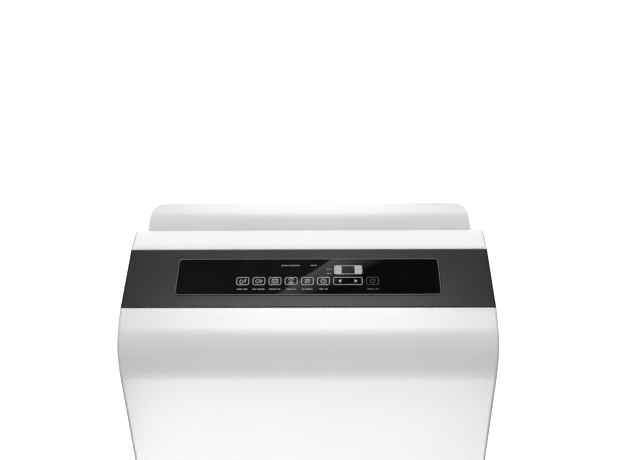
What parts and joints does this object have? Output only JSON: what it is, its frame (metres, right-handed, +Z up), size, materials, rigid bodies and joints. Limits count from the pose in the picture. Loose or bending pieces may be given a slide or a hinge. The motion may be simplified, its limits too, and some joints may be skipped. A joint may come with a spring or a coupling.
{
  "type": "portable dehumidifier",
  "caption": "Upright room dehumidifier on casters: curved front hood, sloped control band with gloss lens and keys, open rear louver flap, pull-out water bucket and rear filter.",
  "frame": {"origin": "on the floor below the middle of the case's bounding box", "axes": "+X to the right seen from the front, +Y to the back, +Z up"},
  "size_m": [0.392, 0.28, 0.6341],
  "materials": {
    "white_shell": "glossy white",
    "band_grey": "satin charcoal",
    "lens_black": "polished black",
    "board_green": "satin board lacquer",
    "black_plastic": "matte black",
    "grey_plastic": "matte grey",
    "filter_net": "woven net",
    "bucket_smoke": "smoked translucent",
    "clear_window": "clear",
    "float_foam": "foam white",
    "zinc_steel": "zinc plated",
    "bright_steel": "ground",
    "black_metal": "satin black",
    "fin_aluminium": "mill",
    "copper": "drawn tube",
    "black_rubber": "matte",
    "wheel_nylon": "nylon"
  },
  "bodies": {
    "cabinet": {"front_cover": "white_shell", "ridge_cap": "white_shell", "control_band": "band_grey", "display_lens": "lens_black", "control_board": "board_green", "rear_cover": "white_shell", "outlet_grille": "black_plastic", "intake_grille": "grey_plastic", "grip_cup_left": "black_plastic", "grip_cup_right": "black_plastic", "base_pan": "black_plastic", "bulkhead": "grey_plastic", "drip_tray": "grey_plastic", "fan_scroll": "grey_plastic", "scroll_cover": "grey_plastic", "motor_bracket": "zinc_steel", "fan_motor": "black_metal", "condenser_fins": "fin_aluminium", "condenser_tubes": "copper", "evaporator_fins": "fin_aluminium", "evaporator_tubes": "copper", "compressor": "black_metal", "compressor_grommets": "black_rubber", "accumulator": "black_metal", "discharge_pipe": "copper", "suction_pipe": "copper", "capillary_tube": "copper", "electrical_box": "black_plastic", "condensate_pump": "black_plastic", "pump_hose": "black_rubber", "pump_outlet": "black_plastic", "drain_spout": "black_plastic", "cord_gland": "black_rubber", "case_screws": "zinc_steel"},
    "louver": {"louver": "white_shell"},
    "fan": {"fan_wheel": "grey_plastic", "fan_shaft": "bright_steel"},
    "bucket": {"bucket": "bucket_smoke", "bucket_front": "white_shell", "level_window": "clear_window"},
    "float": {"bucket_float": "float_foam"},
    "filter": {"filter_frame": "grey_plastic", "filter_mesh": "filter_net"},
    "rocker": {"level_rocker": "lens_black"},
    "plug": {"drain_plug": "black_rubber"},
    "pump_key": {"pump_key": "lens_black"},
    "comfort_key": {"comfort_key": "lens_black"},
    "filter_key": {"filter_key": "lens_black"},
    "continuous_key": {"continuous_key": "lens_black"},
    "turbo_key": {"turbo_key": "lens_black"},
    "timer_key": {"timer_key": "lens_black"},
    "power_key": {"power_key": "lens_black"},
    "swivel_front_left": {"caster_fork_front_left": "black_plastic"},
    "wheel_front_left": {"caster_wheel_front_left": "wheel_nylon"},
    "swivel_front_right": {"caster_fork_front_right": "black_plastic"},
    "wheel_front_right": {"caster_wheel_front_right": "wheel_nylon"},
    "swivel_rear_left": {"caster_fork_rear_left": "black_plastic"},
    "wheel_rear_left": {"caster_wheel_rear_left": "wheel_nylon"},
    "swivel_rear_right": {"caster_fork_rear_right": "black_plastic"},
    "wheel_rear_right": {"caster_wheel_rear_right": "wheel_nylon"}
  },
  "joints": [
    {"name": "louver_hinge", "type": "hinge", "parent": "cabinet", "child": "louver", "pos_m": [0, 0.01099, 0.59661], "axis": [1, 0, 0], "range_deg": [-71, 0]},
    {"name": "fan_spin", "type": "hinge", "parent": "cabinet", "child": "fan", "pos_m": [0, 0.00023, 0.3892], "axis": [0, 1, 0], "continuous": true},
    {"name": "bucket_slide", "type": "slide", "parent": "cabinet", "child": "bucket", "axis": [0, -1, 0], "range_m": [0, 0.16]},
    {"name": "float_pivot", "type": "hinge", "parent": "bucket", "child": "float", "pos_m": [-0.095, -0.028, 0.226], "axis": [1, 0, 0], "range_deg": [-25, 0]},
    {"name": "filter_pull", "type": "slide", "parent": "cabinet", "child": "filter", "axis": [0, 1, 0], "range_m": [0, 0.05]},
    {"name": "plug_pull", "type": "slide", "parent": "cabinet", "child": "plug", "axis": [0, 1, 0], "range_m": [0, 0.03]},
    {"name": "pump_press", "type": "slide", "parent": "cabinet", "child": "pump_key", "axis": [0, 0.3551, -0.9348], "range_m": [0, 0.0005], "stiffness_N_per_m": 400},
    {"name": "comfort_press", "type": "slide", "parent": "cabinet", "child": "comfort_key", "axis": [0, 0.3551, -0.9348], "range_m": [0, 0.0005], "stiffness_N_per_m": 400},
    {"name": "filter_press", "type": "slide", "parent": "cabinet", "child": "filter_key", "axis": [0, 0.3551, -0.9348], "range_m": [0, 0.0005], "stiffness_N_per_m": 400},
    {"name": "continuous_press", "type": "slide", "parent": "cabinet", "child": "continuous_key", "axis": [0, 0.3551, -0.9348], "range_m": [0, 0.0005], "stiffness_N_per_m": 400},
    {"name": "turbo_press", "type": "slide", "parent": "cabinet", "child": "turbo_key", "axis": [0, 0.3551, -0.9348], "range_m": [0, 0.0005], "stiffness_N_per_m": 400},
    {"name": "timer_press", "type": "slide", "parent": "cabinet", "child": "timer_key", "axis": [0, 0.3551, -0.9348], "range_m": [0, 0.0005], "stiffness_N_per_m": 400},
    {"name": "power_press", "type": "slide", "parent": "cabinet", "child": "power_key", "axis": [0, 0.3551, -0.9348], "range_m": [0, 0.0005], "stiffness_N_per_m": 400},
    {"name": "rocker_tilt", "type": "hinge", "parent": "cabinet", "child": "rocker", "pos_m": [0.0425, -0.06885, 0.59312], "axis": [0, 0.9348, 0.3551], "range_deg": [-1.5, 1.5], "stiffness_Nm_per_rad": 0.05},
    {"name": "swivel_front_left", "type": "hinge", "parent": "cabinet", "child": "swivel_front_left", "pos_m": [-0.152, -0.098, 0.032], "axis": [0, 0, 1], "continuous": true},
    {"name": "roll_front_left", "type": "hinge", "parent": "swivel_front_left", "child": "wheel_front_left", "pos_m": [-0.152, -0.089, 0.013], "axis": [1, 0, 0], "continuous": true},
    {"name": "swivel_front_right", "type": "hinge", "parent": "cabinet", "child": "swivel_front_right", "pos_m": [0.152, -0.098, 0.032], "axis": [0, 0, 1], "continuous": true},
    {"name": "roll_front_right", "type": "hinge", "parent": "swivel_front_right", "child": "wheel_front_right", "pos_m": [0.152, -0.089, 0.013], "axis": [1, 0, 0], "continuous": true},
    {"name": "swivel_rear_left", "type": "hinge", "parent": "cabinet", "child": "swivel_rear_left", "pos_m": [-0.152, 0.098, 0.032], "axis": [0, 0, 1], "continuous": true},
    {"name": "roll_rear_left", "type": "hinge", "parent": "swivel_rear_left", "child": "wheel_rear_left", "pos_m": [-0.152, 0.107, 0.013], "axis": [1, 0, 0], "continuous": true},
    {"name": "swivel_rear_right", "type": "hinge", "parent": "cabinet", "child": "swivel_rear_right", "pos_m": [0.152, 0.098, 0.032], "axis": [0, 0, 1], "continuous": true},
    {"name": "roll_rear_right", "type": "hinge", "parent": "swivel_rear_right", "child": "wheel_rear_right", "pos_m": [0.152, 0.107, 0.013], "axis": [1, 0, 0], "continuous": true}
  ]
}
